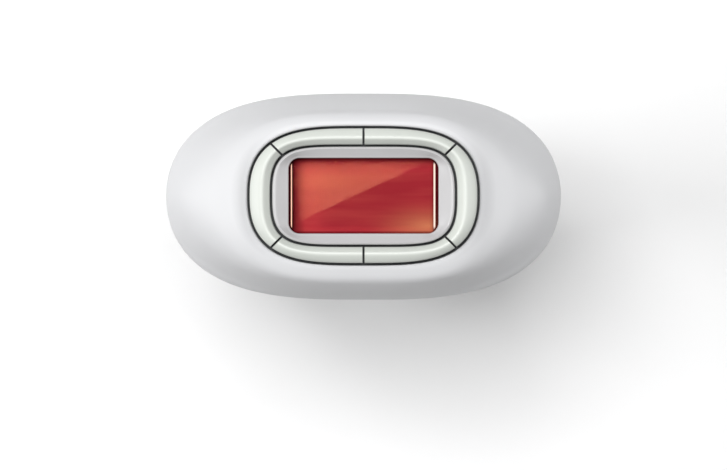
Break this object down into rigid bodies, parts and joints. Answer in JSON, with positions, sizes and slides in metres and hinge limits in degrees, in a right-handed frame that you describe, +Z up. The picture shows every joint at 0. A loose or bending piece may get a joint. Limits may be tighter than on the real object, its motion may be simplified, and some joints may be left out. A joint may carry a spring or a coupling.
{
  "type": "ipl hair remover",
  "caption": "Upright hand-held flash hair remover with an oval head, a ring of sprung skin-contact pads round a red filter window, a flash button and a power button.",
  "frame": {"origin": "on the ground under the middle of the handset, which stands on the two feet of its tail", "axes": "+Z up along the handset, the way the flash window looks; -Y is the side with the buttons; X runs across the wide head"},
  "size_m": [0.081, 0.0424, 0.1444],
  "materials": {
    "body_shell": "satin pearl",
    "contact_pad": "satin",
    "bezel_grey": "satin",
    "filter_glass": "polished",
    "seal_rubber": "matte",
    "foot_rubber": "matte",
    "structural_plastic": "matte",
    "reflector_mirror": "polished",
    "quartz_glass": "polished",
    "terminal_steel": "satin",
    "holder_ceramic": "matte",
    "lead_silicone": "satin",
    "circuit_board": "satin",
    "capacitor_sleeve": "gloss",
    "ferrite": "matte",
    "copper_winding": "satin",
    "heat_sink_aluminium": "satin",
    "button_plastic": "satin",
    "panel_plastic": "gloss",
    "light_guide": "gloss",
    "trim_chrome": "polished",
    "screw_steel": "satin",
    "spring_steel": "polished"
  },
  "bodies": {
    "handset": {"head_cowl": "body_shell", "front_grip_shell": "body_shell", "back_grip_shell": "body_shell", "base_cap": "body_shell", "control_panel": "panel_plastic", "flash_button_trim": "trim_chrome", "flash_button_switch": "structural_plastic", "power_button_switch": "structural_plastic", "level_light_guide": "light_guide", "window_bezel": "bezel_grey", "filter_window": "filter_glass", "window_gasket": "seal_rubber", "optics_chassis": "structural_plastic", "reflector": "reflector_mirror", "flash_lamp": "quartz_glass", "sensor_board": "circuit_board", "heat_sink": "heat_sink_aluminium", "fan_frame": "structural_plastic", "control_board": "circuit_board", "power_board": "circuit_board", "step_up_transformer": "ferrite", "trigger_coil": "copper_winding", "dc_inlet": "structural_plastic", "pad_spring_left": "spring_steel", "pad_sensor_left": "structural_plastic", "pad_spring_right": "spring_steel", "pad_sensor_right": "structural_plastic", "pad_spring_top_left": "spring_steel", "pad_sensor_top_left": "structural_plastic", "pad_spring_top_right": "spring_steel", "pad_sensor_top_right": "structural_plastic", "pad_spring_bottom_left": "spring_steel", "pad_sensor_bottom_left": "structural_plastic", "pad_spring_bottom_right": "spring_steel", "pad_sensor_bottom_right": "structural_plastic", "foot_left": "foot_rubber", "lamp_cap_left": "terminal_steel", "lamp_holder_left": "holder_ceramic", "lamp_lead_left": "lead_silicone", "flash_capacitor_left": "capacitor_sleeve", "foot_right": "foot_rubber", "lamp_cap_right": "terminal_steel", "lamp_holder_right": "holder_ceramic", "lamp_lead_right": "lead_silicone", "flash_capacitor_right": "capacitor_sleeve", "housing_screw_1": "screw_steel", "housing_screw_2": "screw_steel", "housing_screw_3": "screw_steel", "housing_screw_4": "screw_steel"},
    "flash_key": {"flash_button": "button_plastic"},
    "power_key": {"power_button": "button_plastic"},
    "fan": {"fan_rotor": "structural_plastic"},
    "pad_left": {"contact_pad_left": "contact_pad"},
    "pad_right": {"contact_pad_right": "contact_pad"},
    "pad_top_left": {"contact_pad_top_left": "contact_pad"},
    "pad_top_right": {"contact_pad_top_right": "contact_pad"},
    "pad_bottom_left": {"contact_pad_bottom_left": "contact_pad"},
    "pad_bottom_right": {"contact_pad_bottom_right": "contact_pad"}
  },
  "joints": [
    {"name": "pad_left_press", "type": "slide", "parent": "handset", "child": "pad_left", "axis": [0, 0, -1], "range_m": [0, 0.001], "stiffness_N_per_m": 400, "springref_m": -0.001, "deforming": ["pad_spring_left"]},
    {"name": "pad_right_press", "type": "slide", "parent": "handset", "child": "pad_right", "axis": [0, 0, -1], "range_m": [0, 0.001], "stiffness_N_per_m": 400, "springref_m": -0.001, "deforming": ["pad_spring_right"]},
    {"name": "pad_top_left_press", "type": "slide", "parent": "handset", "child": "pad_top_left", "axis": [0, 0, -1], "range_m": [0, 0.001], "stiffness_N_per_m": 400, "springref_m": -0.001, "deforming": ["pad_spring_top_left"]},
    {"name": "pad_top_right_press", "type": "slide", "parent": "handset", "child": "pad_top_right", "axis": [0, 0, -1], "range_m": [0, 0.001], "stiffness_N_per_m": 400, "springref_m": -0.001, "deforming": ["pad_spring_top_right"]},
    {"name": "pad_bottom_left_press", "type": "slide", "parent": "handset", "child": "pad_bottom_left", "axis": [0, 0, -1], "range_m": [0, 0.001], "stiffness_N_per_m": 400, "springref_m": -0.001, "deforming": ["pad_spring_bottom_left"]},
    {"name": "pad_bottom_right_press", "type": "slide", "parent": "handset", "child": "pad_bottom_right", "axis": [0, 0, -1], "range_m": [0, 0.001], "stiffness_N_per_m": 400, "springref_m": -0.001, "deforming": ["pad_spring_bottom_right"]},
    {"name": "flash_button_press", "type": "slide", "parent": "handset", "child": "flash_key", "axis": [0, 1, 0], "range_m": [0, 0.0008], "stiffness_N_per_m": 1200, "springref_m": -0.0008},
    {"name": "power_button_press", "type": "slide", "parent": "handset", "child": "power_key", "axis": [0, 1, 0], "range_m": [0, 0.0008], "stiffness_N_per_m": 1200, "springref_m": -0.0008},
    {"name": "fan_spin", "type": "hinge", "parent": "handset", "child": "fan", "pos_m": [0, 0, 0.1045], "axis": [0, 0, 1], "continuous": true}
  ]
}
